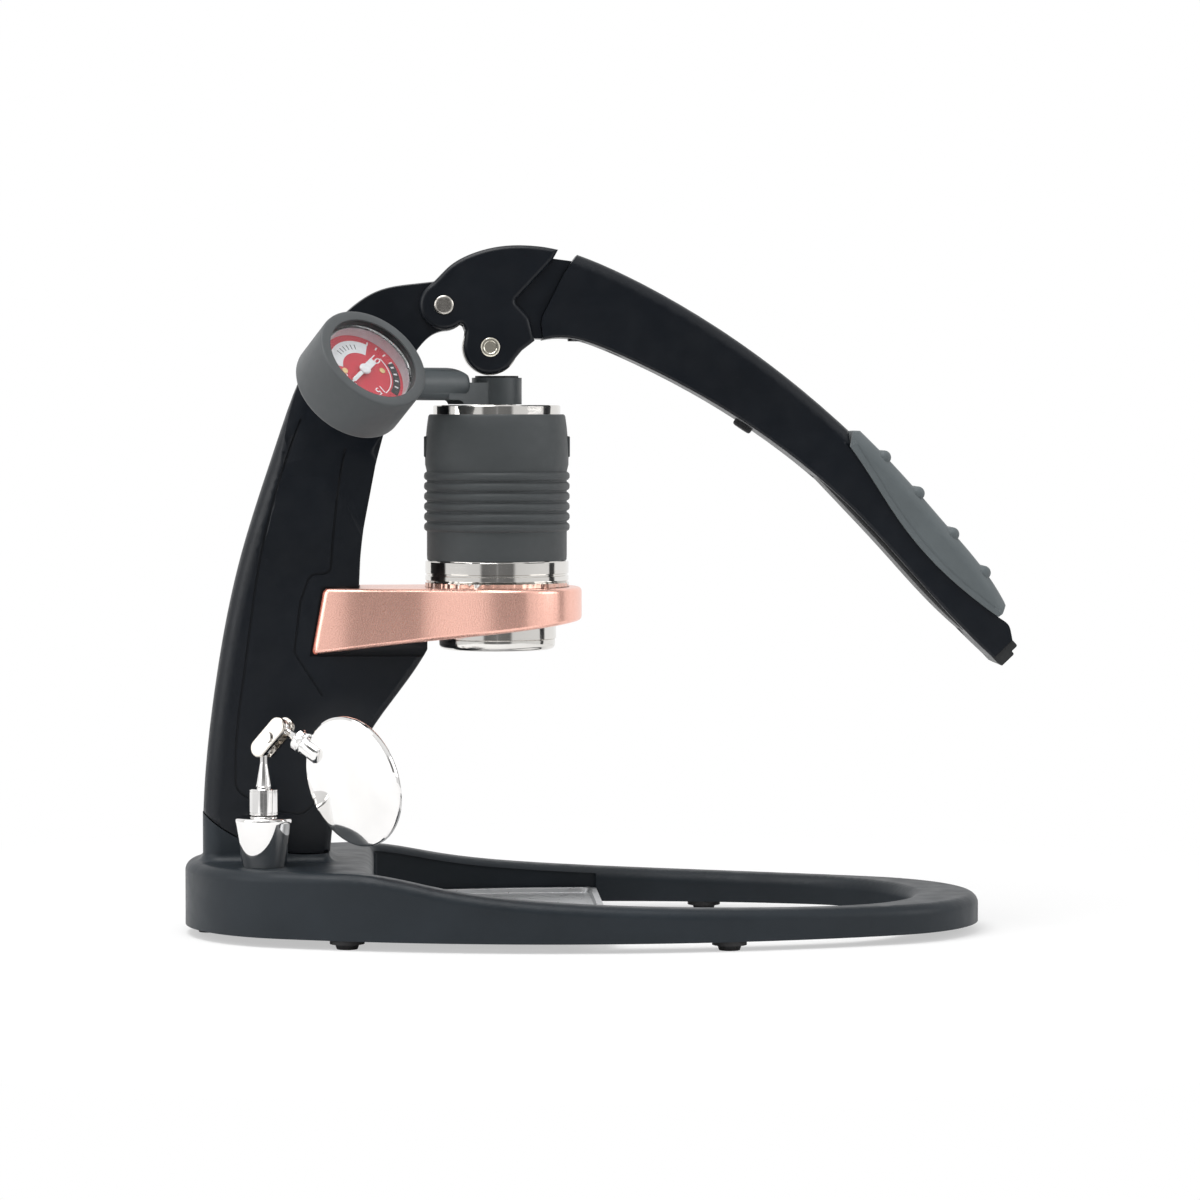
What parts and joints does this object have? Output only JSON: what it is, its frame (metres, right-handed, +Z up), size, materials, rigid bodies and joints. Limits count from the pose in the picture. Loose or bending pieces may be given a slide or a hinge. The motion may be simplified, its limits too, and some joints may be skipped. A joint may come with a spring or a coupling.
{
  "type": "lever espresso machine",
  "caption": "Manual lever espresso machine: curved post on an oval ring, lever with roller, brew head in a copper fork, pressure gauge, mirror and drip tray.",
  "frame": {"origin": "middle of the footprint on the standing surface", "axes": "+X along the base towards the lever's grip, +Z up, the user works from -Y"},
  "size_m": [0.3192, 0.153, 0.2632],
  "materials": {
    "base_coat": "dark grey satin coat on the cast ring",
    "post_coat": "black satin coat on the cast post, head and arm",
    "sleeve_moulding": "dark grey matt moulding",
    "grip_moulding": "grey soft moulding",
    "gauge_moulding": "grey soft cover",
    "stem_coat": "dark grey coat on the elbow casting",
    "black_moulding": "black moulding",
    "black_rubber": "black rubber",
    "copper_coat": "copper coloured metallic coat with fine grain",
    "polished_steel": "polished stainless steel",
    "brushed_stainless": "brushed stainless steel",
    "chrome_plate": "bright chrome plate",
    "dark_steel": "dark steel",
    "bush_bronze": "bronze bush",
    "roller_steel": "steel roller",
    "dial_enamel": "red and white printed dial",
    "needle_enamel": "pale needle",
    "screw_brass": "small brass screws and works",
    "lens_glass": "clear lens",
    "mirror_silver": "silvered glass",
    "magnet_steel": "plated magnet"
  },
  "bodies": {
    "base": {"base_ring": "base_coat", "rubber_feet": "black_rubber", "base_screws": "dark_steel", "post_frame": "post_coat", "pivot_bush": "bush_bronze"},
    "lever": {"lever_head": "post_coat", "pivot_bolt": "dark_steel", "lobe_bolt": "dark_steel", "lever_arm": "post_coat", "arm_screws": "dark_steel", "lever_underside_cover": "black_moulding", "lever_bumper": "grip_moulding", "lever_grip": "grip_moulding", "lever_end_cap": "black_moulding", "end_cap_screw": "dark_steel"},
    "roller": {"pressure_roller": "roller_steel"},
    "brew_head": {"portafilter_holder": "copper_coat", "basket": "polished_steel", "basket_base": "polished_steel", "dispersion_screen": "brushed_stainless", "cylinder": "polished_steel", "cylinder_sleeve": "sleeve_moulding"},
    "plunger": {"piston": "brushed_stainless", "piston_seal": "black_rubber", "plunger_rod": "brushed_stainless", "pressure_pad": "black_moulding"},
    "gauge_head": {"gauge_stem": "stem_coat", "gauge_case": "brushed_stainless", "gauge_cover": "gauge_moulding", "gauge_bezel": "black_moulding", "gauge_lens": "lens_glass", "gauge_dial": "dial_enamel", "gauge_screws": "screw_brass", "gauge_movement": "screw_brass"},
    "needle": {"gauge_needle": "needle_enamel", "gauge_arbor": "screw_brass"},
    "stand": {"stand_foot": "chrome_plate", "stand_magnet": "magnet_steel", "stand_stem": "chrome_plate"},
    "link": {"mirror_link": "chrome_plate", "link_screw": "chrome_plate"},
    "mirror": {"mirror_stud": "chrome_plate", "mirror_disc": "chrome_plate", "mirror_glass": "mirror_silver"},
    "tray": {"drip_tray": "brushed_stainless"}
  },
  "joints": [
    {"name": "lever_pivot", "type": "hinge", "parent": "base", "child": "lever", "pos_m": [-0.0601, 0, 0.24044], "axis": [0, -1, 0], "range_deg": [0, 90]},
    {"name": "roller_spin", "type": "hinge", "parent": "lever", "child": "roller", "pos_m": [-0.04246, 0, 0.22442], "axis": [0, 1, 0], "continuous": true},
    {"name": "holder_slide", "type": "slide", "parent": "base", "child": "brew_head", "axis": [1, 0, 0], "range_m": [0, 0.045]},
    {"name": "plunger_slide", "type": "slide", "parent": "brew_head", "child": "plunger", "axis": [0, 0, 1], "range_m": [0, 0.012]},
    {"name": "gauge_turn", "type": "hinge", "parent": "plunger", "child": "gauge_head", "pos_m": [-0.0397, 0, 0.2075], "axis": [0, 0, 1], "range_deg": [0, 80]},
    {"name": "needle_swing", "type": "hinge", "parent": "gauge_head", "child": "needle", "pos_m": [-0.09262, -0.03944, 0.2125], "axis": [-0.4773, 0.6403, -0.6018], "range_deg": [0, 250], "stiffness_Nm_per_rad": 0.00005, "springref_deg": -17.19},
    {"name": "stand_swivel", "type": "hinge", "parent": "base", "child": "stand", "pos_m": [-0.1285, -0.032, 0.04], "axis": [0, 0, 1], "range_deg": [-60, 10]},
    {"name": "link_tilt", "type": "hinge", "parent": "stand", "child": "link", "pos_m": [-0.1285, -0.032, 0.0732], "axis": [-0.5793, -0.809, 0.0999], "range_deg": [-4, 15]},
    {"name": "mirror_tilt", "type": "hinge", "parent": "link", "child": "mirror", "pos_m": [-0.12158, -0.03593, 0.0815], "axis": [-0.5793, -0.809, 0.0999], "range_deg": [-4, 20]},
    {"name": "tray_lift", "type": "slide", "parent": "base", "child": "tray", "axis": [0, 0, 1], "range_m": [0, 0.02]}
  ],
  "couplings": [
    {"joint": "plunger_slide", "follows": "lever_pivot", "m_per_rad": 0.0075}
  ]
}
